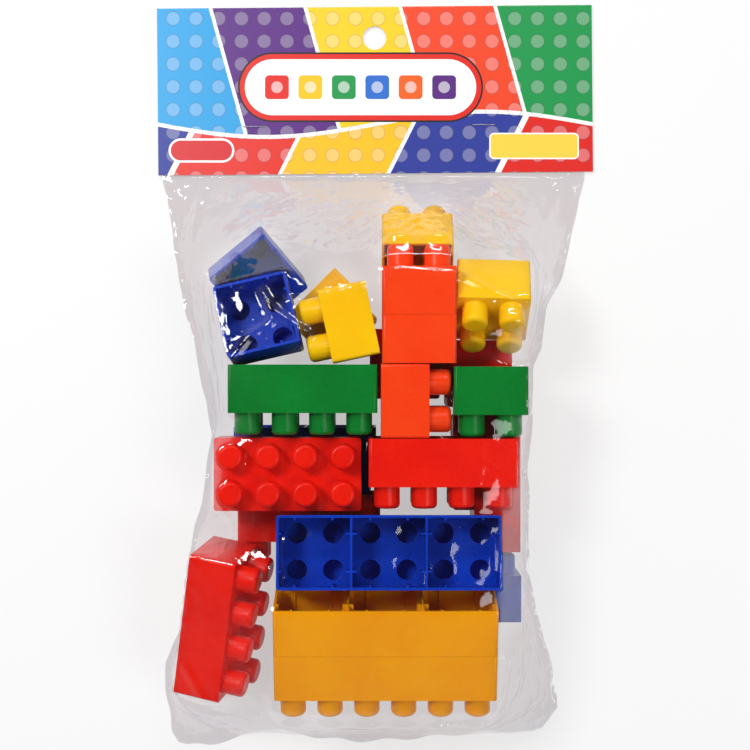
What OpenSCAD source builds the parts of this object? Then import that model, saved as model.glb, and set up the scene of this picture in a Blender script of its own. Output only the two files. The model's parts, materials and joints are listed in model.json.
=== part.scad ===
/* [Blocks] */
// Distance between the centres of two neighbouring studs
pitch = 19; // [18.75:0.05:19.25]
// Height of a block's body, without its studs
body_h = 24.5; // [24:0.1:25]
// Height of a stud above the body
stud_h = 11.2; // [10.6:0.1:11.8]
// Outer diameter of a stud
stud_d = 13.2; // [12.6:0.1:13.8]
// Radius of the rounded shoulder on a stud
stud_round = 2.2; // [1:0.2:3]
// Thickness of a block's side walls
wall = 1.4; // [1.2:0.1:1.8]
// Thickness of the roof under the studs
roof = 1.6; // [1.2:0.1:2.2]
// Thickness of the moulded wall of a stud
stud_wall = 1.3; // [1:0.1:1.6]
// Thickness of the cross walls between two cells
cross_wall = 1.2; // [1:0.1:1.6]
// Radius of a block's upright corners
corner_r = 1.6; // [1:0.2:2.4]
// Width of a clutch rib
rib_w = 1; // [0.8:0.1:1.4]

/* [Fits] */
// How much a block is shorter than its grid
block_gap = 0.4; // [0.2:0.1:0.6]
// Clearance between a stud and the ribs that grip it
clutch_clear = 0.1; // [0.05:0.01:0.15]
// Clearance between the rim of a stacked block and the roof it sits on
stack_clear = 0.1; // [0.05:0.05:0.2]
// Clearance between two loose blocks that lie against each other
seat = 0.3; // [0.2:0.1:0.5]

/* [Header card] */
// Width of the header card
card_w = 240.5; // [236:0.5:244]
// Height of the folded header card
card_h = 92.5; // [88:0.5:96]
// Thickness of the card
card_t = 0.4; // [0.3:0.05:0.6]
// Diameter of the hang hole
hang_hole_d = 13; // [8:0.5:14]
// Distance from the fold to the centre of the hang hole
hang_hole_drop = 17.5; // [14:0.5:24]
// How far the card sits turned on the bag, in degrees
card_turn = 0.5; // [0:0.1:1]
// Width of a staple's crown
staple_w = 12.7; // [11:0.1:14]
// Thickness of the staple wire
wire_d = 0.5; // [0.4:0.05:0.7]
// Distance from the card's lower edge to the staples
staple_rise = 26.5; // [18:0.5:34]

/* [Bag] */
// Thickness of one sheet of bag film
film_t = 0.3; // [0.2:0.05:0.4]
// Half of the pack's length, from the fold to the bottom seal
pack_half = 205; // [203:0.5:208]
// Width of the flat heat seal at the bag's sides
seal_w = 3; // [2:0.5:4]
// Slack between the blocks and the film in front of them
film_slack = 1.2; // [1:0.1:2]
// How far a stacked block can be pulled before the closed bag stops it
bag_play = 5; // [3:0.5:6]

/* [Hidden] */

$fn = 48;

// Colours of the moulded plastic and the card
red = "#f02a0e";
orange = "#ff4a1a";
yellow = "#ffc800";
blue = "#0a3fc4";
green = "#0a8a2e";

// Outer sizes of a block that is two studs wide
w2 = 2 * pitch - block_gap;
l4 = 4 * pitch - block_gap;
l6 = 6 * pitch - block_gap;
tall = body_h + stud_h;
stud_inset = pitch / 2 - block_gap / 2 - stud_d / 2;

// Ribs and cross walls run from the rim into the roof, and sink into the walls that carry them
sink = 0.1;
rib_h = body_h - roof + 2 * sink;
rib_z = rib_h / 2;

// Depth of the two layers of blocks, measured up from the surface the pack lies on
rest_z = film_t + seat;
layer = max(w2, tall);
under_z = rest_z + w2 / 2;
front_low = rest_z + layer + seat;
front_z = front_low + w2 / 2;
face_z = front_low + w2;

// Seams between the rows of blocks, from the bottom of the bag upwards
row_seam = -32;
row_top = row_seam + seat / 2 + w2;
stack_y = row_top + seat;
green_y = row_seam + 1.6 + stud_h + body_h / 2;
green_top = green_y + body_h / 2;
red_y = row_seam - seat / 2;
blue_row_y = row_seam - 1.5 * w2 - 2;

// Ends of the blocks across the bag
sideways_x = 3;
stack_x = 22.4;
red_seam_x = -5.2;
red_gap = 3.9;

// Placed by the turn first and then by the shift
module place(shift, turn = [0, 0, 0]) {
    translate(shift) rotate(turn) children();
}

module rounded_rect(l, w, r) {
    square([l - 2 * r, w], center = true);
    square([l, w - 2 * r], center = true);
    for (x = [-1, 1], y = [-1, 1])
        translate([x * (l / 2 - r), y * (w / 2 - r)]) circle(r);
}

// A stud with a rounded shoulder, standing on z = 0
module stud() {
    r = stud_d / 2;
    rotate_extrude() {
        square([r, stud_h - stud_round]);
        square([r - stud_round, stud_h]);
        translate([r - stud_round, stud_h - stud_round]) circle(stud_round);
    }
}

// Clutch ribs along the long walls, one pair at each column of studs
module wall_ribs(n) {
    depth = stud_inset - wall - clutch_clear;
    for (i = [0:n - 1], side = [-1, 1])
        translate([(i - (n - 1) / 2) * pitch, side * (w2 / 2 - wall - depth / 2 + sink), rib_z])
            cube([rib_w, depth + 2 * sink, rib_h], center = true);
}

// Clutch ribs on the end walls, one at each row of studs
module end_ribs(n) {
    depth = stud_inset - wall - clutch_clear;
    for (side = [-1, 1], row = [-0.5, 0.5])
        translate([side * ((n * pitch - block_gap) / 2 - wall - depth / 2 + sink), row * pitch, rib_z])
            cube([depth + 2 * sink, rib_w, rib_h], center = true);
}

// Cross walls between the cells of four studs, each with its own clutch ribs
module cross_walls(n) {
    reach = pitch - stud_d - 2 * clutch_clear;
    for (k = [1:1:n / 2 - 1])
        translate([k * 2 * pitch - n * pitch / 2, 0, rib_z]) {
            cube([cross_wall, w2 - wall, rib_h], center = true);
            for (row = [-0.5, 0.5])
                translate([0, row * pitch, 0]) cube([reach, rib_w, rib_h], center = true);
        }
}

// A moulded block, n studs long and two wide: x along its length, studs up, open rim on z = 0
module block(n) {
    l = n * pitch - block_gap;
    bore = stud_d - 2 * stud_wall;
    difference() {
        union() {
            difference() {
                linear_extrude(body_h) rounded_rect(l, w2, corner_r);
                translate([0, 0, -1]) linear_extrude(body_h - roof + 1)
                    square([l - 2 * wall, w2 - 2 * wall], center = true);
            }
            wall_ribs(n);
            end_ribs(n);
            cross_walls(n);
            for (i = [0:n - 1], row = [-0.5, 0.5])
                translate([(i - (n - 1) / 2) * pitch, row * pitch, body_h]) stud();
        }
        for (i = [0:n - 1], row = [-0.5, 0.5])
            translate([(i - (n - 1) / 2) * pitch, row * pitch, body_h - roof - 0.5])
                cylinder(d = bore, h = stud_h + 0.5);
    }
}

// The same block about the middle of its body, with its studs towards one side of the pack
module studs_front(n) translate([0, 0, -body_h / 2]) block(n);
module studs_back(n) rotate([180, 0, 0]) studs_front(n);
module studs_down(n) rotate([90, 0, 0]) studs_front(n);
module studs_up(n) rotate([-90, 0, 0]) studs_front(n);
module studs_right(n) rotate([90, 0, 90]) studs_front(n);
module studs_left(n) rotate([90, 0, -90]) studs_front(n);

// Top row of the pack: two open blue blocks, two yellow blocks and a yellow one behind the stack
module blue_block_back_2x2() color(blue)
    place([-63, 51.8, 28], [17, -4, 39]) studs_back(2);

module blue_block_open_2x2() color(blue)
    place([-59.5, green_top + 0.62 * w2, 62.8], [-11, 0, 13]) studs_back(2);

module yellow_block_side_2x2() color(yellow)
    place([-13.2, green_top + 0.575 * w2, front_z], [0, 0, 12]) studs_left(2);

module yellow_block_corner_2x2() color(yellow)
    place([-26, 35, under_z], [0, 0, 45]) studs_down(2);

module yellow_block_top_2x2() color(yellow)
    place([stack_x, stack_y + 2 * body_h + 9.2, 29], [-44, 0, 0]) studs_up(2);

// Stack of two orange blocks, clutched together, on the sideways one
module orange_block_lower_2x2() color(orange)
    place([stack_x, stack_y + body_h / 2, front_z]) studs_up(2);

module orange_block_upper_2x2() color(orange)
    place([stack_x, stack_y + body_h * 1.5 + stack_clear, front_z]) studs_up(2);

module orange_block_sideways_2x2() color(orange)
    place([sideways_x + body_h / 2, row_top - w2 / 2, front_z]) studs_right(2);

module yellow_block_right_2x2() color(yellow)
    place([stack_x + w2 + 0.9, 39, 50], [-33, -1, -1.5]) studs_down(2);

// Middle rows of the front layer
module green_block_2x4() color(green)
    place([sideways_x - 1.8 - l4 / 2, green_y, front_z]) studs_down(4);

module green_block_2x2() color(green)
    place([sideways_x + tall + 1.7 + w2 / 2, green_y - 1, front_z + 0.7], [0, -2, 0]) studs_down(2);

module red_block_studs_2x4() color(red)
    place([red_seam_x - (red_gap + l4) / 2, red_y - w2 / 2, front_low + body_h / 2]) studs_front(4);

module red_block_side_2x4() color(red)
    place([red_seam_x + (red_gap + l4) / 2, red_y - body_h / 2, front_z]) studs_down(4);

// Bottom rows of the front layer
module blue_block_2x6() color(blue)
    place([7, blue_row_y, 66], [-5, 0, 0]) studs_back(6);

// Stack of two yellow blocks, leaning with its open rim towards the front
yellow_lean = 15;
module yellow_stack(from_rim) {
    translate([5.3, blue_row_y - w2 / 2 - 9.4, face_z + 4.9]) rotate([yellow_lean, 0, 0])
        translate([0, -from_rim, -w2 / 2]) children();
}
module yellow_block_upper_2x6() color(yellow)
    yellow_stack(body_h / 2) studs_down(6);

module yellow_block_lower_2x6() color(yellow)
    yellow_stack(body_h * 1.5 + stack_clear) studs_down(6);

module red_block_tilted_2x4() color(red)
    place([-83, -127, 48], [12.4, -11.9, -10.7]) studs_right(4);

// Layer of blocks under the front one
under_left_top = -27.6;
under_right_y = -56.2;
module red_block_under_left_2x4() color(red)
    place([-35, under_left_top - tall - 2 * seat - body_h / 2, under_z]) studs_down(4);

module blue_block_under_left_2x4() color(blue)
    place([-37.2, under_left_top - body_h / 2, under_z]) studs_down(4);

module red_block_under_right_2x4() color(red)
    place([77 - body_h / 2, under_right_y, under_z]) studs_left(4);

module blue_block_under_right_2x4() color(blue)
    place([39.8, under_right_y - l4 / 2 - 1.2 - tall + body_h / 2, under_z]) studs_up(4);

module red_block_under_top_2x2() color(red)
    place([53.9, under_right_y + l4 / 2 + 1.2 + tall - body_h / 2, under_z]) studs_down(2);

module red_block_under_middle_2x2() color(red)
    place([16, 6, rest_z + body_h / 2]) studs_front(2);

// Stacking order of the folded card, from the surface up
card_back_z = wire_d + 0.1;
film_back_z = card_back_z + card_t;
card_front_z = film_back_z + 2 * film_t + 0.2;
card_top_z = card_front_z + card_t;
card_y = pack_half - (card_h * cos(card_turn) + card_w * sin(card_turn)) / 2;
staple_y = -card_h / 2 + staple_rise;
staple_x = [-67, 60];

// Profile of the folded card, seen from its end: x along the card's height, y up
module fold_profile() {
    r = (card_top_z - card_back_z) / 2;
    flat = card_h / 2 - r;
    translate([0, card_back_z]) difference() {
        union() {
            translate([-card_h / 2, 0]) square([card_h - r, 2 * r]);
            translate([flat, r]) circle(r);
        }
        translate([-card_h / 2 - 1, card_t]) square([card_h - r + 1, 2 * (r - card_t)]);
        translate([flat, r]) circle(r - card_t);
    }
}

module on_card() {
    translate([0, card_y, 0]) rotate([0, 0, card_turn]) children();
}

module header_card() color("white")
    on_card() difference() {
        rotate([90, 0, 90]) translate([0, 0, -card_w / 2]) linear_extrude(card_w) fold_profile();
        translate([0, card_h / 2 - hang_hole_drop, -1]) cylinder(d = hang_hole_d, h = card_top_z + 2);
    }

// One staple: a crown on the front, two legs through the card and the bag, clinched behind
module staple() {
    leg = staple_w / 2 - wire_d / 2;
    clinch = staple_w * 0.38;
    for (side = [-1, 1]) {
        translate([side * leg, 0, 0]) cylinder(d = wire_d, h = card_top_z + wire_d);
        translate([side * leg, 0, wire_d / 2]) rotate([0, -side * 90, 0]) cylinder(d = wire_d, h = clinch);
    }
    translate([-staple_w / 2, 0, card_top_z + wire_d / 2]) rotate([0, 90, 0])
        cylinder(d = wire_d, h = staple_w);
}

module staples() color("silver")
    on_card() for (x = staple_x) translate([x, staple_y, 0]) staple();

// Shape of the filled bag at stations along its length:
// distance from the middle, left edge, right edge, height of the film and how square its shoulders are
bottom = -pack_half;
card_low = card_y - card_h / 2 - card_w / 2 * sin(card_turn) - 1;
bag_top = card_y + card_h / 2 - hang_hole_drop - hang_hole_d;
film_flat = film_back_z + 2 * film_t;
film_top = face_z + film_slack + film_t;
bag_stations = [
    [bottom, -112, 95, 2 * film_t, 2],
    [bottom + 6, -113, 96, 5, 2.4],
    [bottom + 15, -114.5, 98, 58, 4],
    [-172, -115.5, 99, face_z - 1, 8],
    [-140, -108, 91, film_top + 4.6, 10],
    [-105, -103, 86, film_top + 4.6, 10],
    [-60, -95, 84, film_top, 12],
    [-20, -92, 87, film_top + 1, 12],
    [20, -99, 91, film_top + 2.2, 12],
    [58, -107, 102, film_top, 8],
    [72, -109, 106, face_z - 1, 6],
    [90, -113, 111, 41, 3],
    [card_low, -117, 115, film_flat, 2],
    [bag_top, -117, 115, film_flat, 2]];

function ease(t) = t * t * (3 - 2 * t);
function station(y, i = 0) =
    i >= len(bag_stations) - 2 || y <= bag_stations[i + 1][0]
        ? let (a = bag_stations[i], b = bag_stations[i + 1], t = ease((y - a[0]) / (b[0] - a[0])))
            [for (k = [0:4]) k == 0 ? y : a[k] + (b[k] - a[k]) * t]
        : station(y, i + 1);

// Height of the back film: flat under the blocks, lifted between the panels of the card
back_rise = 12;
function back_z(y) = film_back_z * ease(max(0, min(1, (y - card_low + back_rise) / back_rise)));

// Points of the front film at one station: seal, rounded shoulder, and the same again on the right
shoulder = 14;
shoulder_steps = 9;
function arch(s, inset) =
    let (base = back_z(s[0]) + 2 * film_t - inset, rise = s[3] - film_t - back_z(s[0]) - film_t,
         power = 2 / s[4], edge = seal_w + inset,
         side = concat([[0, base]],
            [for (i = [0:shoulder_steps]) let (a = 90 * i / shoulder_steps)
                [edge + shoulder * (1 - pow(cos(a), power)), base + rise * pow(sin(a), power)]]),
         last = len(side) - 1)
    concat(
        [for (p = side) [s[1] + p[0], s[0], p[1]]],
        [for (i = [0:last]) [s[2] - side[last - i][0], s[0], side[last - i][1]]]);

film_y = concat(
    [for (i = [0:len(bag_stations) - 2], k = [0:2])
        bag_stations[i][0] + (bag_stations[i + 1][0] - bag_stations[i][0]) * k / 3],
    [bag_top]);

// A closed sheet between an outer and an inner grid of points, both with the same rows and columns
module sheet_between(outer, inner) {
    rows = len(outer);
    cols = len(outer[0]);
    half = rows * cols;
    grid = [for (r = [0:rows - 2], c = [0:cols - 2])
        let (q = r * cols + c) [q, q + 1, q + cols + 1, q + cols]];
    edge = concat(
        [for (c = [0:cols - 1]) c],
        [for (r = [1:rows - 1]) r * cols + cols - 1],
        [for (c = [cols - 2:-1:0]) (rows - 1) * cols + c],
        [for (r = [rows - 2:-1:1]) r * cols]);
    rim = [for (i = [0:len(edge) - 1])
        let (a = edge[i], b = edge[(i + 1) % len(edge)]) [a, a + half, b + half, b]];
    faces = concat(
        [for (q = grid) [q[0], q[2], q[1]]],
        [for (q = grid) [q[0], q[3], q[2]]],
        [for (q = grid) [q[0] + half, q[1] + half, q[2] + half]],
        [for (q = grid) [q[0] + half, q[2] + half, q[3] + half]],
        [for (q = rim) [q[0], q[2], q[1]]],
        [for (q = rim) [q[0], q[3], q[2]]]);
    points = concat([for (row = outer, p = row) p], [for (row = inner, p = row) p]);
    polyhedron(points, faces, convexity = 8);
}

module bag_front_film() color("lightgray", 0.3)
    sheet_between([for (y = film_y) arch(station(y), 0)], [for (y = film_y) arch(station(y), film_t)]);

function flat_row(y, z) = let (s = station(y)) [[s[1], y, z], [s[2], y, z]];
module bag_back_film() color("lightgray", 0.3)
    sheet_between(
        [for (y = film_y) flat_row(y, back_z(y) + film_t)],
        [for (y = film_y) flat_row(y, back_z(y))]);

header_card();
staples();
bag_front_film();
bag_back_film();
blue_block_back_2x2();
blue_block_open_2x2();
yellow_block_side_2x2();
yellow_block_corner_2x2();
yellow_block_top_2x2();
orange_block_upper_2x2();
orange_block_lower_2x2();
orange_block_sideways_2x2();
yellow_block_right_2x2();
green_block_2x4();
green_block_2x2();
red_block_studs_2x4();
red_block_side_2x4();
blue_block_2x6();
yellow_block_upper_2x6();
yellow_block_lower_2x6();
red_block_tilted_2x4();
red_block_under_left_2x4();
blue_block_under_left_2x4();
red_block_under_right_2x4();
blue_block_under_right_2x4();
red_block_under_top_2x2();
red_block_under_middle_2x2();
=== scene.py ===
import json
import math

import bmesh
import bpy
import numpy as np
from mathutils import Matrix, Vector
from mathutils.bvhtree import BVHTree


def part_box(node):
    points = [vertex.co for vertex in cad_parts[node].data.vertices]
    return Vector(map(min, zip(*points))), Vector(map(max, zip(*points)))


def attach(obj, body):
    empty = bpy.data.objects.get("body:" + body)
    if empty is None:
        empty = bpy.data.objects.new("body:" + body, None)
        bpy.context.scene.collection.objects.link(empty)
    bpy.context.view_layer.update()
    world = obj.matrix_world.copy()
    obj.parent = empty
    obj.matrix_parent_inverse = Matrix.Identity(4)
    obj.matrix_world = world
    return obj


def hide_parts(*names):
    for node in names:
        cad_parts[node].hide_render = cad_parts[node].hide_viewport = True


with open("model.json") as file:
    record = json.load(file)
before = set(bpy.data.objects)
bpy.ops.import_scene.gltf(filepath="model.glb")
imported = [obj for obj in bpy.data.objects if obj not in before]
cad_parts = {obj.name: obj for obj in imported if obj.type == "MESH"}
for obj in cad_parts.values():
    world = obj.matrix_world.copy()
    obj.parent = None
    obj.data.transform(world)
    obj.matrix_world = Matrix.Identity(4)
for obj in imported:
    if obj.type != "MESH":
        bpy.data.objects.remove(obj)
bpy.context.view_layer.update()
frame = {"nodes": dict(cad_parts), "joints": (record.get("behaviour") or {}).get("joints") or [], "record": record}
nodes = frame["nodes"]
mm = 0.001


# Blocks: toy building blocks with two rows of studs, injection moulded in polypropylene in five
# colours. The mould leaves a soft gloss, edges rounded by a few tenths of a millimetre and faint
# flow marks, and handling leaves fine scuffs.
def linear(colour):
    """A hex sRGB colour as linear RGBA."""
    parts = [int(colour[i : i + 2], 16) / 255 for i in (1, 3, 5)]
    return [p / 12.92 if p < 0.04045 else ((p + 0.055) / 1.055) ** 2.4 for p in parts] + [1]


def add(tree, kind, links=None, **settings):
    """A new node of that kind. links maps its inputs to values, to other nodes' outputs, or to other
    nodes, which then give their first output."""
    made = tree.nodes.new("ShaderNode" + kind)
    for name, value in settings.items():
        setattr(made, name, value)
    for socket, source in (links or {}).items():
        if isinstance(source, bpy.types.Node):
            source = source.outputs[0]
        if isinstance(source, bpy.types.NodeSocket):
            tree.links.new(source, made.inputs[socket])
        else:
            made.inputs[socket].default_value = source
    return made


def new_material(name):
    """An empty material, its node tree and its output node."""
    material = bpy.data.materials.new(name)
    material.use_nodes = True
    material.node_tree.nodes.clear()
    return material, material.node_tree, add(material.node_tree, "OutputMaterial")


def moulded_polypropylene(name, colour, shade, glow):
    """Soft, waxy gloss: colour is the plain plastic, shade its thick or scuffed places, and glow how
    much light passes under its skin."""
    flow_mark = 35.7 * mm
    scuff = 2.38 * mm
    grain = 0.625 * mm
    material, tree, out = new_material(name)
    place = add(tree, "TexCoord").outputs["Object"]
    flow = add(tree, "TexNoise", {"Vector": place, "Scale": 1 / flow_mark, "Detail": 3, "Roughness": 0.55})
    scuffs = add(tree, "TexNoise", {"Vector": place, "Scale": 1 / scuff, "Detail": 4, "Roughness": 0.7})
    grains = add(tree, "TexNoise", {"Vector": place, "Scale": 1 / grain, "Detail": 2})
    spread = add(tree, "MapRange", {"Value": flow, "From Min": 0.35, "From Max": 0.65})
    tint = add(tree, "MixRGB", {"Fac": spread, "Color1": linear(colour), "Color2": linear(shade)})
    gloss = add(
        tree,
        "MapRange",
        {"Value": scuffs, "From Min": 0.4, "From Max": 0.75, "To Min": 0.27, "To Max": 0.4},
    )
    ripple = add(tree, "Bump", {"Height": flow, "Strength": 0.12, "Distance": 0.6 * mm})
    rough = add(tree, "Bump", {"Height": grains, "Strength": 0.1, "Distance": 0.03 * mm, "Normal": ripple})
    plastic = add(
        tree,
        "BsdfPrincipled",
        {
            "Base Color": tint,
            "Roughness": gloss,
            "IOR": 1.49,
            "Specular IOR Level": 0.2,
            "Subsurface Weight": glow,
            "Subsurface Radius": (1.2 * mm, 0.7 * mm, 0.4 * mm),
            "Subsurface Scale": 1,
            "Normal": rough,
        },
    )
    tree.links.new(plastic.outputs["BSDF"], out.inputs["Surface"])
    return material


plastics = {
    "red": moulded_polypropylene("red polypropylene", "#F51A00", "#EB1200", 0.1),
    "orange": moulded_polypropylene("orange polypropylene", "#FF4A14", "#FB3E08", 0.15),
    "yellow": moulded_polypropylene("yellow polypropylene", "#FFCE00", "#FFC400", 0.15),
    "amber": moulded_polypropylene("amber polypropylene", "#FFAC00", "#FAA200", 0.15),
    "blue": moulded_polypropylene("blue polypropylene", "#003CC4", "#0034AC", 0.05),
    "green": moulded_polypropylene("green polypropylene", "#00832C", "#007827", 0.05),
}
edge_round = 0.45 * mm
sharpest_curve = math.radians(50)
lying_flat = math.radians(1)
amber_blocks = ("yellow_block_upper_2x6", "yellow_block_lower_2x6")
blocks = {name: node for name, node in nodes.items() if "_block_" in name}
for name, block in blocks.items():
    colour = "amber" if name in amber_blocks else name.split("_")[0]
    for held in block.material_slots:
        held.material = plastics[colour]
    block.modifiers.new("join", "WELD").merge_threshold = 0.01 * mm
    flat = block.modifiers.new("flat faces", "DECIMATE")
    flat.decimate_type = "DISSOLVE"
    flat.angle_limit = lying_flat
    rounded = block.modifiers.new("rounded edges", "BEVEL")
    rounded.width = edge_round
    rounded.segments = 2
    rounded.limit_method = "ANGLE"
    rounded.angle_limit = sharpest_curve
    rounded.use_clamp_overlap = True
    rounded.harden_normals = True


# Bag: two sheets of clear polypropylene film, heat-sealed along the sides and the bottom. The
# front sheet hangs over the blocks and gathers in creases, and the back one lies flat. The
# height of the front sheet is found as a stretched skin that rests on the blocks.
bag_left = [  # height up the bag and place across it, in mm
    (-205, -109), (-200, -113), (-180, -115), (-160, -116), (-149, -112.5), (-141, -108), (-120, -105),
    (-98, -102), (-69, -96.5), (-55, -94), (-33, -90.5), (-14, -93.5), (5, -98.5), (27, -102.5), (54, -109),
    (76, -112), (97, -115.5), (110, -118), (175, -118),
]
bag_right = [
    (-205, 93), (-200, 96), (-190, 101), (-180, 101), (-164, 99), (-147, 93), (-125, 89), (-108, 85.5),
    (-69, 85), (-55, 85), (-36, 87), (-14, 87), (5, 88), (15, 92), (38, 96), (54, 103), (77, 109),
    (109, 116), (175, 116),
]
side_seal = 3 * mm
bottom_seal = 6 * mm
film_gap = 0.5 * mm  # between a block and the film on it
sheet_gap = 0.3 * mm  # between the two sheets where they meet
air = 0.0004 * mm  # lift by the air in the bag, in each round of relax()
grid_step = 1.25 * mm
bag_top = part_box("bag_front_film")[1][1]
bag_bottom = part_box("bag_front_film")[0][1]
card_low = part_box("header_card")[0][1]
dice = np.random.default_rng(7)


def soft_noise(shape, cells):
    """Smooth random numbers from -1 to 1 over a grid, cells of them across each way."""
    coarse = dice.uniform(-1, 1, (cells[0] + 3, cells[1] + 3))
    at_row = np.linspace(0, cells[0], shape[0])
    at_col = np.linspace(0, cells[1], shape[1])
    row, col = np.floor(at_row).astype(int), np.floor(at_col).astype(int)
    fr, fc = at_row - row, at_col - col
    fr, fc = (fr * fr * (3 - 2 * fr))[:, None], (fc * fc * (3 - 2 * fc))[None, :]
    corner = [coarse[np.ix_(row + i, col + j)] for i in (0, 1) for j in (0, 1)]
    near = corner[0] * (1 - fc) + corner[1] * fc
    far = corner[2] * (1 - fc) + corner[3] * fc
    return near * (1 - fr) + far * fr


def film_edges(y):
    """Left and right edge of the bag at heights y, in metres, a little wavy."""
    long_wave = 0.8 * np.sin(y / (8.3 * mm)) * np.sin(y / (31 * mm) + 1)
    short_wave = 0.3 * np.sin(y / (3.7 * mm) + 2) * np.sin(y / (17 * mm))
    wave = long_wave + short_wave
    calm = np.clip((card_low - y) / (10 * mm), 0, 1)
    left = np.interp(y / mm, *zip(*bag_left)) + wave * calm
    right = np.interp(y / mm, *zip(*bag_right)) - wave[::-1] * calm
    return left * mm, right * mm


def back_height(y):
    """Height of the back sheet: on the table, and lifted between the panels of the card."""
    lift_start = card_low - 14 * mm
    lift_length = 12 * mm
    t = np.clip((y - lift_start) / lift_length, 0, 1)
    return 0.15 * mm + 1.0 * mm * t * t * (3 - 2 * t)


def travels(name):
    """Where a block can be: in its place, and at the end of its pull if it is one that slides."""
    places = [Vector((0, 0, 0))]
    for joint in frame["joints"]:
        if name in frame["record"]["behaviour"]["bodies"][joint["child"]]:
            places.append(Vector(joint["axis"]) * joint["range_m"][1])
    return places


def blocks_height(x, y):
    """Height of the blocks' top at each point of a grid, seen from above, wherever they slide."""
    points, faces = [], []
    for name, block in blocks.items():
        for pull in travels(name):
            start = len(points)
            points += [v.co + pull for v in block.data.vertices]
            faces += [[start + i for i in p.vertices] for p in block.data.polygons]
    tree = BVHTree.FromPolygons(points, faces)
    down = Vector((0, 0, -1))
    above_all = 200 * mm
    top = np.zeros((len(y), len(x)))
    for i, yy in enumerate(y):
        for j, xx in enumerate(x):
            hit = tree.ray_cast(Vector((xx, yy, above_all)), down)[0]
            top[i, j] = hit.z if hit else 0
    return top


def relax(height, floor, free, rounds, push):
    """Lets a stretched skin settle on what is under it, a little blown up by the air in the bag."""
    for _ in range(rounds):
        mean = (height[:-2, 1:-1] + height[2:, 1:-1] + height[1:-1, :-2] + height[1:-1, 2:]) / 4
        inner = np.maximum(mean + push, floor[1:-1, 1:-1])
        height[1:-1, 1:-1] = np.where(free[1:-1, 1:-1], inner, height[1:-1, 1:-1])
    return height


def spread_over(height, reach):
    """The highest value within reach cells each way, so that the skin clears upright walls."""
    for _ in range(reach):
        padded = np.pad(height, 1, mode="edge")
        rows, columns = height.shape
        height = np.max([padded[i : i + rows, j : j + columns] for i in range(3) for j in range(3)], 0)
    return height


grid_reach = 121 * mm
grid_x = np.arange(-grid_reach, grid_reach + 0.1 * mm, grid_step)
grid_y = np.arange(bag_bottom - 2 * mm, bag_top + 2 * mm, grid_step)
left_edge, right_edge = film_edges(grid_y)
across = grid_x[None, :]
upward = grid_y[:, None]
base = np.repeat(back_height(grid_y)[:, None] + sheet_gap, len(grid_x), 1)
free = (across > left_edge[:, None] + side_seal) & (across < right_edge[:, None] - side_seal)
free &= (upward > bag_bottom + bottom_seal) & (upward < card_low - 2 * mm)
top = spread_over(blocks_height(grid_x, grid_y), 1)
carried = np.where(top > 0, top + film_gap, 0)
lowest = np.maximum(carried, base)
skin = np.where(free, lowest, base)
coarse_rounds = 400
fine_rounds = 260
for step in (8, 4, 2, 1):
    if step > 1:
        coarse_floor = spread_over(lowest, step // 2)[::step, ::step]
        small = skin[::step, ::step].copy()
        small = relax(small, coarse_floor, free[::step, ::step], coarse_rounds, air * step * step)
        rows = np.clip(np.arange(len(grid_y)) // step, 0, small.shape[0] - 1)
        cols = np.clip(np.arange(len(grid_x)) // step, 0, small.shape[1] - 1)
        skin = np.where(free, np.maximum(small[np.ix_(rows, cols)], lowest), base)
    else:
        skin = relax(skin, lowest, free, fine_rounds, air)

# Creases: sharp folds in the film, each with its height, its half width and its points, in mm
creases = [
    (1.6, 2.4, [(-43, 38), (-32, 38), (-10, 44), (11, 53), (42, 51), (57, 44), (74, 36)]),
    (1.4, 3.4, [(-92, 108), (-98, 92), (-101, 74)]),
    (1.2, 3.4, [(-83, 108), (-76, 96)]),
    (1.4, 3.4, [(-30, 109), (-24, 92)]),
    (1.2, 3.4, [(14, 109), (20, 92), (28, 86)]),
    (1.2, 3.4, [(60, 108), (66, 84)]),
    (1.4, 3.4, [(103, 106), (94, 84), (84, 70)]),
    (1.2, 3.4, [(92, 96), (78, 83), (74, 74)]),
    (1.6, 3.4, [(-75, 52), (-72, 60)]),
    (2.0, 3.4, [(-57, 42), (-52, 33), (-40, 25), (-33, 20)]),
    (2.0, 3.4, [(-72, 8), (-63, 20), (-52, 27)]),
    (1.2, 3.4, [(-98, -150), (-88, -168), (-74, -186)]),
    (1.2, 3.4, [(-107, -160), (-99, -178), (-104, -192)]),
    (1.4, 3.4, [(-92, -172), (-70, -181), (-48, -174)]),
    (2.0, 3.4, [(-52, -179), (-10, -182), (30, -182), (64, -179)]),
    (1.2, 3.4, [(72, -128), (76, -152), (72, -170)]),
    (1.4, 3.4, [(83, -140), (90, -160), (98, -172)]),
    (1.2, 3.4, [(66, -172), (80, -182), (88, -196)]),
    (1.2, 3.4, [(81, -60), (82, -84), (79, -108)]),
    (1.4, 3.4, [(-30, -198), (-22, -186)]),
    (1.4, 3.4, [(-8, -200), (-2, -188)]),
    (1.4, 3.4, [(16, -199), (22, -187)]),
    (1.2, 3.4, [(-94, -30), (-92, -52), (-88, -66)]),
]


def crease_height(x, y, line, tall, wide):
    """Height that one fold adds at each point: a roof, tall on its line and ending at wide."""
    best = np.full(np.broadcast(x, y).shape, 1.0)
    for (ax, ay), (bx, by) in zip(line, line[1:]):
        ax, ay, bx, by = ax * mm, ay * mm, bx * mm, by * mm
        dx, dy = bx - ax, by - ay
        t = np.clip(((x - ax) * dx + (y - ay) * dy) / (dx * dx + dy * dy), 0, 1)
        best = np.minimum(best, np.hypot(x - ax - t * dx, y - ay - t * dy))
    return tall * np.clip(1 - best / wide, 0, 1)


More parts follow.
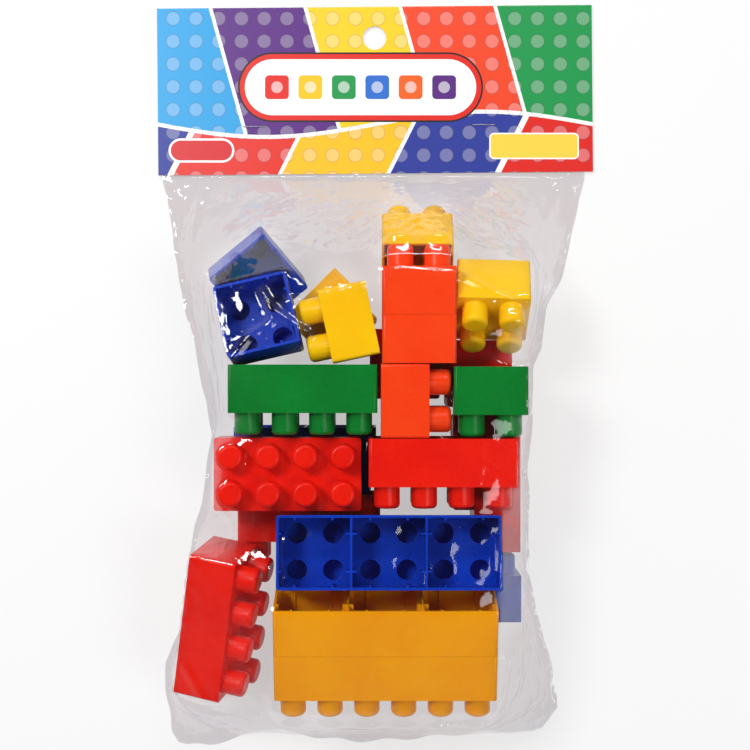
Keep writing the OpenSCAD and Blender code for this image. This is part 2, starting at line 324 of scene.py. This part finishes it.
# How the film is ruffled: loose is 1 where it hangs 9 mm or more off the blocks, and wild is 1 at
# the sides and the bottom, where it crinkles most
loose = np.clip((skin - carried) / (9 * mm), 0, 1) * free
folds = np.zeros_like(skin)
for tall, wide, line in creases:
    folds = np.maximum(folds, crease_height(across, upward, line, tall * mm, wide * mm))
ruffles = (((26, 16), 1.0), ((54, 34), 0.55), ((100, 66), 0.3))
crumple = np.zeros_like(skin)
for cells, weight in ruffles:
    crumple += weight * (1 - np.abs(soft_noise(skin.shape, cells)) * 2)
from_side = np.minimum(across - left_edge[:, None], right_edge[:, None] - across)
inside = np.clip(from_side / (14 * mm), 0, 1)
low_end = np.clip((-upward - 165 * mm) / (20 * mm), 0, 1)
wild = np.maximum(1 - inside, low_end) * free
fold_share = 0.75 + 0.25 * loose
ruffle_depth = mm * (0.1 + 0.34 * loose + 0.5 * wild)
skin = skin + free * (folds * fold_share + crumple * ruffle_depth)
skin = np.maximum(skin, np.where(free, np.maximum(carried - 0.2 * mm, base), base))

# Where no block is under the film: 1 there and 0 on a block, with the border blurred. It sets where the film is
# painted a pale grey as shade and reflection, and where its crinkles are deeper
blur_rounds = 26
bare = (top == 0).astype(float)
bare = relax(bare, np.zeros_like(bare), np.ones_like(free), blur_rounds, 0)


def film_sheet(name, columns, row_y, height_at, slack_at):
    """A sheet from edge to edge of the bag: a bmesh grid whose rows follow the bag's outline. It
    keeps in its attribute "hanging" where the film hangs free, from 0 on a block to 1."""
    left, right = film_edges(row_y)
    bm = bmesh.new()
    bmesh.ops.create_grid(bm, x_segments=columns - 1, y_segments=len(row_y) - 1, size=1)
    for v in bm.verts:
        row = min(len(row_y) - 1, round((v.co.y + 1) / 2 * (len(row_y) - 1)))
        t = (v.co.x + 1) / 2
        x = left[row] + (right[row] - left[row]) * t
        y = row_y[row] + bottom_wave(x) * max(0, 1 - (row_y[row] - bag_bottom) / (30 * mm))
        v.co = (x, y, height_at(x, y))
    mesh = bpy.data.meshes.new(name)
    bm.to_mesh(mesh)
    bm.free()
    mesh.shade_smooth()
    hanging = mesh.attributes.new("hanging", "FLOAT", "POINT")
    hanging.data.foreach_set("value", [slack_at(v.co.x, v.co.y) for v in mesh.vertices])
    made = bpy.data.objects.new(name, mesh)
    bpy.context.collection.objects.link(made)
    return made


bottom_line = [  # place across the bag and height of its lower edge over the lowest point, in mm
    (-113, 4), (-104, 0), (-92, 0), (-76, 4), (-62, 9), (-54, 9), (-44, 6), (-12, 2), (12, 3), (36, 5),
    (70, 8), (86, 7), (97, 12),
]


def bottom_wave(x):
    """How far the bottom seal is drawn up at x, in metres."""
    return (np.interp(x / mm, *zip(*bottom_line)) + 0.8 * math.sin(x / (4.2 * mm))) * mm


def on_grid(values, x, y):
    """A grid's value at one point, between its corners."""
    col = min(max((x - grid_x[0]) / grid_step, 0), len(grid_x) - 1.001)
    row = min(max((y - grid_y[0]) / grid_step, 0), len(grid_y) - 1.001)
    j, i = int(col), int(row)
    fc, fr = col - j, row - i
    near = values[i, j] * (1 - fc) + values[i, j + 1] * fc
    far = values[i + 1, j] * (1 - fc) + values[i + 1, j + 1] * fc
    return float(near * (1 - fr) + far * fr)


def clear_film(name, tint, crumpled):
    """Blown film: clear, with the sharp mirror gloss of a smooth thin sheet, which grows as it turns
    away. It is crackled where it hangs free, as deep as crumpled says, and there its see-through
    colour is a patchy pale grey of painted shade and reflection. tint is its colour on a block."""
    dent = 20.8 * mm
    crinkle = 6.67 * mm
    sway = 22.2 * mm
    patch = 62.5 * mm
    haze = 111 * mm
    material, tree, out = new_material(name)
    place = add(tree, "TexCoord").outputs["Object"]
    slack = add(tree, "Attribute", attribute_name="hanging").outputs["Fac"]
    bend = add(tree, "TexNoise", {"Vector": place, "Scale": 1 / sway, "Detail": 2}).outputs["Color"]
    shift = add(tree, "VectorMath", {0: bend, "Scale": 0.02}, operation="SCALE")
    bent = add(tree, "VectorMath", {0: place, 1: shift}, operation="ADD")
    dents = add(tree, "TexVoronoi", {"Vector": bent, "Scale": 1 / dent})
    crinkles = add(tree, "TexVoronoi", {"Vector": bent, "Scale": 1 / crinkle})
    patches = add(tree, "TexNoise", {"Vector": place, "Scale": 1 / patch, "Detail": 2})
    much = add(tree, "MapRange", {"Value": patches, "From Min": 0.45, "From Max": 0.65})
    depth = add(tree, "MapRange", {"Value": slack, "To Min": 0.2 * crumpled, "To Max": 1.3 * crumpled})
    patchy = add(tree, "Math", {0: much, 1: depth}, operation="MULTIPLY")
    first = add(tree, "Bump", {"Height": dents, "Strength": depth, "Distance": 3.6 * mm})
    second = add(
        tree, "Bump", {"Height": crinkles, "Strength": patchy, "Distance": 2.6 * mm, "Normal": first}
    )
    mirror = {"Base Color": linear("#FFFFFF"), "Metallic": 1.0, "Roughness": 0.07, "Normal": second}
    gloss = add(tree, "BsdfPrincipled", mirror)
    turned = add(tree, "LayerWeight", {"Blend": 0.25, "Normal": second}).outputs["Facing"]
    cover = add(tree, "MapRange", {"Value": turned, "To Min": 0.035, "To Max": 0.36})
    cloud = add(tree, "TexNoise", {"Vector": place, "Scale": 1 / haze, "Detail": 3, "Roughness": 0.6})
    # Painted shade and reflection: pale bluish and pinkish greys that the film lets through where it hangs free,
    # in place of the shade and dull reflections there
    grey = add(tree, "MixRGB", {"Fac": cloud, "Color1": linear("#E6E9F0"), "Color2": linear("#F4EAE6")})
    shade = add(tree, "MixRGB", {"Fac": slack, "Color1": linear(tint), "Color2": grey})
    clear = add(tree, "BsdfTransparent", {"Color": shade})
    mix = add(tree, "MixShader", {0: cover, 1: clear, 2: gloss})
    tree.links.new(mix.outputs["Shader"], out.inputs["Surface"])
    return material


front = film_sheet(
    "bag_front",
    230,
    np.linspace(bag_bottom, bag_top, 360),
    lambda x, y: on_grid(skin, x, y),
    lambda x, y: on_grid(bare, x, y),
)
front.data.materials.append(clear_film("clear polypropylene film", "#FCFBFB", 0.42))
# The back sheet has hanging 0.3 all over, so it is painted 30 % of the way to the film's pale grey of painted
# shade and reflection, and its crinkles are shallow
back = film_sheet(
    "bag_back",
    60,
    np.linspace(bag_bottom, bag_top, 100),
    lambda x, y: float(back_height(np.array(y))),
    lambda x, y: 0.3,
)
back.data.materials.append(clear_film("clear polypropylene film, back", "#FCFBFB", 0.2))
for sheet, node in ((front, "bag_front_film"), (back, "bag_back_film")):
    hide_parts(node)
    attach(sheet, "pack")


# Header card: one sheet of coated board, folded over the bag's mouth along its top edge, printed
# in bright flat colours under a soft varnish. The print is a plain pattern of slanting colour
# panels and dots, with three plaques, the middle one of which has six square buttons.
def printed_board():
    """Offset print on coated board: even colours, sharp edges, a varnish with a slight orange peel."""
    dot_cell = 12.6 * mm
    paper_grain = 1.11 * mm
    orange_peel = 3.33 * mm
    warp_length = 111 * mm
    material, tree, out = new_material("printed coated board")
    place = add(tree, "TexCoord").outputs["Object"]
    low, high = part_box("header_card")
    to_centre = (-(low[0] + high[0]) / 2, -(low[1] + high[1]) / 2, 0)
    moved = add(tree, "Mapping", {"Vector": place, "Location": to_centre})
    at = add(tree, "SeparateXYZ", {0: moved})
    x, y, z = (at.outputs[i] for i in range(3))

    def stripes(value, reach, colours, line):
        """Bands of colour along value, from -reach to reach, with thin white lines between them."""
        along = add(tree, "MapRange", {"Value": value, "From Min": -reach, "From Max": reach})
        ramp = add(tree, "ValToRGB", {"Fac": along})
        ramp.color_ramp.interpolation = "CONSTANT"
        points = ramp.color_ramp.elements
        points[0].color = linear(colours[0])
        points.remove(points[1])
        for i, colour in enumerate(colours[1:], 1):
            points.new(i / len(colours) - line).color = linear("#FFFFFF")
            points.new(i / len(colours) + line).color = linear(colour)
        return ramp

    def far_from(steps):
        """How far the point is from the origin in the print's plane, after those steps on it."""
        point = moved
        for kind, amount in steps + [("MULTIPLY", (1, 1, 0)), ("LENGTH", (0, 0, 0))]:
            point = add(tree, "VectorMath", {0: point, 1: amount}, operation=kind)
        return point.outputs["Value"]

    # Ground: slanting panels above and below a white line in waves
    right_lean = add(tree, "Math", {0: y, 1: 0.28, 2: x}, operation="MULTIPLY_ADD")
    left_lean = add(tree, "Math", {0: y, 1: -0.5, 2: x}, operation="MULTIPLY_ADD")
    upper = stripes(right_lean, 0.132, ["#27A3E2", "#5B2583", "#FFD21A", "#F4471F", "#16994C"], 0.004)
    lower = stripes(left_lean, 0.15, ["#2B3A9B", "#E63226", "#FFC41A", "#2B3A9B", "#E2231A"], 0.005)
    turn = add(tree, "Math", {0: x, 1: 26.0}, operation="MULTIPLY")
    sine = add(tree, "Math", {0: turn}, operation="SINE")
    wave = add(tree, "Math", {0: sine, 1: -7 * mm, 2: y}, operation="MULTIPLY_ADD")
    line_at = -19 * mm
    above = add(tree, "Math", {0: wave, 1: line_at}, operation="GREATER_THAN")
    on_line = add(tree, "Math", {0: wave, 1: line_at, 2: 1.1 * mm}, operation="COMPARE")
    art = add(tree, "MixRGB", {"Fac": above, "Color1": lower, "Color2": upper})
    art = add(tree, "MixRGB", {"Fac": on_line, "Color1": art, "Color2": linear("#FFFFFF")})

    # Dots: faint rows over the whole ground, each with a dark rim
    from_dot = far_from(
        [
            ("ADD", (1, 1, 0)),
            ("DIVIDE", (dot_cell, dot_cell, dot_cell)),
            ("FRACTION", (0, 0, 0)),
            ("SUBTRACT", (0.5, 0.5, 0)),
        ]
    )
    dot = add(tree, "Math", {0: from_dot, 1: 0.3}, operation="LESS_THAN")
    rim = add(tree, "Math", {0: from_dot, 1: 0.3, 2: 0.03}, operation="COMPARE")
    for mask, strength, colour in ((dot, 0.16, "#FFFFFF"), (rim, 0.22, "#1A1A40")):
        ink = add(tree, "Math", {0: mask, 1: strength}, operation="MULTIPLY")
        art = add(tree, "MixRGB", {"Fac": ink, "Color1": art, "Color2": linear(colour)})

    # Plaques and buttons: each with its centre, half width, half height and corner in mm, then its
    # inks from the outside in, as how far each goes past the edge, its strength and its colour
    printed = [
        (-8, 1.5, 64, 15.5, 15.5, [(3.8, 1, "#1D1D1F"), (2.8, 1, "#E4261B"), (0, 1, "#FFFFFF")]),
        (88, -31, 24, 6.5, 2, [(0.8, 1, "#FFFFFF"), (0, 1, "#FFD84A")]),
        (-96, -33.5, 17, 5.5, 5.5, [(1.2, 1, "#FFFFFF"), (0, 1, "#D8272D")]),
    ]
    for i, colour in enumerate(["#E4261B", "#FFC814", "#16994C", "#2B6FD0", "#F2641C", "#5B2583"]):
        button_x = -8 + (i - 2.5) * 18.5
        printed.append((button_x, 1.5, 6.6, 6.6, 2.2, [(0, 1, colour)]))
        printed.append((button_x, 1.5, 3.2, 3.2, 3.2, [(0, 0.45, "#FFFFFF")]))
    for centre_x, centre_y, half_width, half_height, corner, inks in printed:
        from_core = far_from(
            [
                ("SUBTRACT", (centre_x * mm, centre_y * mm, 0)),
                ("ABSOLUTE", (0, 0, 0)),
                ("SUBTRACT", ((half_width - corner) * mm, (half_height - corner) * mm, 0)),
                ("MAXIMUM", (0, 0, 0)),
            ]
        )
        for past, strength, colour in inks:
            inside = add(tree, "Math", {0: from_core, 1: (corner + past) * mm}, operation="LESS_THAN")
            ink = add(tree, "Math", {0: inside, 1: strength}, operation="MULTIPLY")
            art = add(tree, "MixRGB", {"Fac": ink, "Color1": art, "Color2": linear(colour)})

    # Print on the side that faces up and lies on top, and bare board elsewhere
    facing = add(tree, "SeparateXYZ", {0: add(tree, "NewGeometry").outputs["True Normal"]}).outputs[2]
    faces_up = add(tree, "Math", {0: facing, 1: 0.3}, operation="GREATER_THAN")
    on_top = add(tree, "Math", {0: z, 1: 1.9 * mm}, operation="GREATER_THAN")
    front_side = add(tree, "Math", {0: faces_up, 1: on_top}, operation="MULTIPLY")
    grey = add(tree, "TexNoise", {"Vector": place, "Scale": 1 / paper_grain, "Detail": 3})
    board = add(tree, "MixRGB", {"Fac": grey, "Color1": linear("#F1EFEA"), "Color2": linear("#DDD9D0")})
    colour = add(tree, "MixRGB", {"Fac": front_side, "Color1": board, "Color2": art})
    peel = add(tree, "TexNoise", {"Vector": place, "Scale": 1 / orange_peel, "Detail": 2})
    warp = add(tree, "TexNoise", {"Vector": place, "Scale": 1 / warp_length, "Detail": 1})
    sway = add(tree, "Bump", {"Height": warp, "Strength": 0.3, "Distance": 2 * mm})
    fine = add(tree, "Bump", {"Height": peel, "Strength": 0.12, "Distance": 0.05 * mm, "Normal": sway})
    varnish = add(
        tree,
        "BsdfPrincipled",
        {
            "Base Color": colour,
            "Roughness": 0.38,
            "IOR": 1.5,
            "Coat Weight": 0.15,
            "Coat Roughness": 0.15,
            "Normal": fine,
        },
    )
    tree.links.new(varnish.outputs["BSDF"], out.inputs["Surface"])
    return material


card = nodes["header_card"]
for held in card.material_slots:
    held.material = printed_board()


# Staples: two wire staples of galvanised steel, driven through the card and both sheets of film
# and clinched behind. The zinc on the drawn wire is bright, with faint spots.
def galvanised_wire():
    """Bright zinc on drawn steel wire, slightly uneven."""
    material, tree, out = new_material("galvanised steel wire")
    place = add(tree, "TexCoord").outputs["Object"]
    spot = 0.4 * mm
    spots = add(tree, "TexNoise", {"Vector": place, "Scale": 1 / spot, "Detail": 3})
    rough = add(tree, "MapRange", {"Value": spots, "To Min": 0.22, "To Max": 0.42})
    tint = add(tree, "MixRGB", {"Fac": spots, "Color1": linear("#C9CACC"), "Color2": linear("#A6A7AA")})
    steel = add(tree, "BsdfPrincipled", {"Base Color": tint, "Metallic": 1.0, "Roughness": rough})
    tree.links.new(steel.outputs["BSDF"], out.inputs["Surface"])
    return material


for held in nodes["staples"].material_slots:
    held.material = galvanised_wire()


# Table: a plain white surface under the pack, which shows white to the camera and in the gloss
# of the film, and keeps the pack's soft shadow.
def white_table():
    """Matt white paper, lifted to white where the camera or a reflection sees it."""
    material, tree, out = new_material("white paper")
    whiteness = 0.62
    light = add(tree, "LightPath").outputs
    seen = add(tree, "Math", {0: light["Is Camera Ray"], 1: light["Is Glossy Ray"]}, operation="MAXIMUM")
    seen = add(tree, "Math", {0: seen, 1: light["Is Transmission Ray"]}, operation="MAXIMUM")
    part = add(tree, "Math", {0: seen, 1: whiteness}, operation="MULTIPLY")
    paper = add(tree, "BsdfPrincipled", {"Base Color": linear("#F6F6F6"), "Roughness": 0.8})
    glow = add(tree, "Emission", {"Color": linear("#FFFFFF"), "Strength": 1.0})
    mix = add(tree, "MixShader", {0: part, 1: paper, 2: glow})
    tree.links.new(mix.outputs["Shader"], out.inputs["Surface"])
    return material


floor_mesh = bpy.data.meshes.new("table")
floor_bm = bmesh.new()
table_reach = 3
bmesh.ops.create_grid(floor_bm, x_segments=1, y_segments=1, size=table_reach)
floor_bm.to_mesh(floor_mesh)
floor_bm.free()
floor_mesh.materials.append(white_table())
table = bpy.data.objects.new("table", floor_mesh)
table.location.z = -0.1 * mm
bpy.context.collection.objects.link(table)


# Light: a soft lamp high on the left, a weaker one on the right, a long one beyond the card that
# glints in the film's creases, and a pale sky that is darker straight above, where the camera is.
def lamp(name, place, aim, size, power):
    """A rectangular area lamp at place, turned towards aim."""
    data = bpy.data.lights.new(name, "AREA")
    data.shape = "RECTANGLE"
    data.size, data.size_y = size
    data.energy = power
    made = bpy.data.objects.new(name, data)
    made.location = place
    made.rotation_euler = (Vector(aim) - Vector(place)).to_track_quat("-Z", "Y").to_euler()
    bpy.context.collection.objects.link(made)


lamp("key", (-0.65, 0.42, 1.2), (0, 0, 0.03), (0.35, 0.35), 10.5)
lamp("fill", (0.65, -0.3, 1.2), (0, 0, 0.03), (0.5, 0.5), 4.5)
lamp("glint", (0.05, 0.95, 1.0), (0, 0, 0.05), (0.6, 0.12), 5)
sky = bpy.data.worlds.new("sky")
sky.use_nodes = True
heaven = sky.node_tree
towards = add(heaven, "SeparateXYZ", {0: add(heaven, "TexCoord").outputs["Generated"]})
horizon = 0.6
overhead = 0.06
bright = add(heaven, "MapRange", {"Value": towards.outputs["Z"], "To Min": horizon, "To Max": overhead})
heaven.links.new(bright.outputs["Result"], heaven.nodes["Background"].inputs["Strength"])
heaven.nodes["Background"].inputs["Color"].default_value = linear("#FFFFFF")
bpy.context.scene.world = sky
bpy.context.scene.view_settings.view_transform = "Standard"


# Camera: straight above the pack, at the distance that the long blocks' perspective shows. The
# photograph is 750 pixels wide, and its focal length is about 1500 of them.
focal_pixels = 1500
picture_pixels = 750
eye_height = 0.832
lens = bpy.data.cameras.new("camera")
lens.sensor_width = 36
lens.lens = 36 * focal_pixels / picture_pixels
camera = bpy.data.objects.new("camera", lens)
camera.location = (0, 0, eye_height)
bpy.context.collection.objects.link(camera)
bpy.context.scene.camera = camera
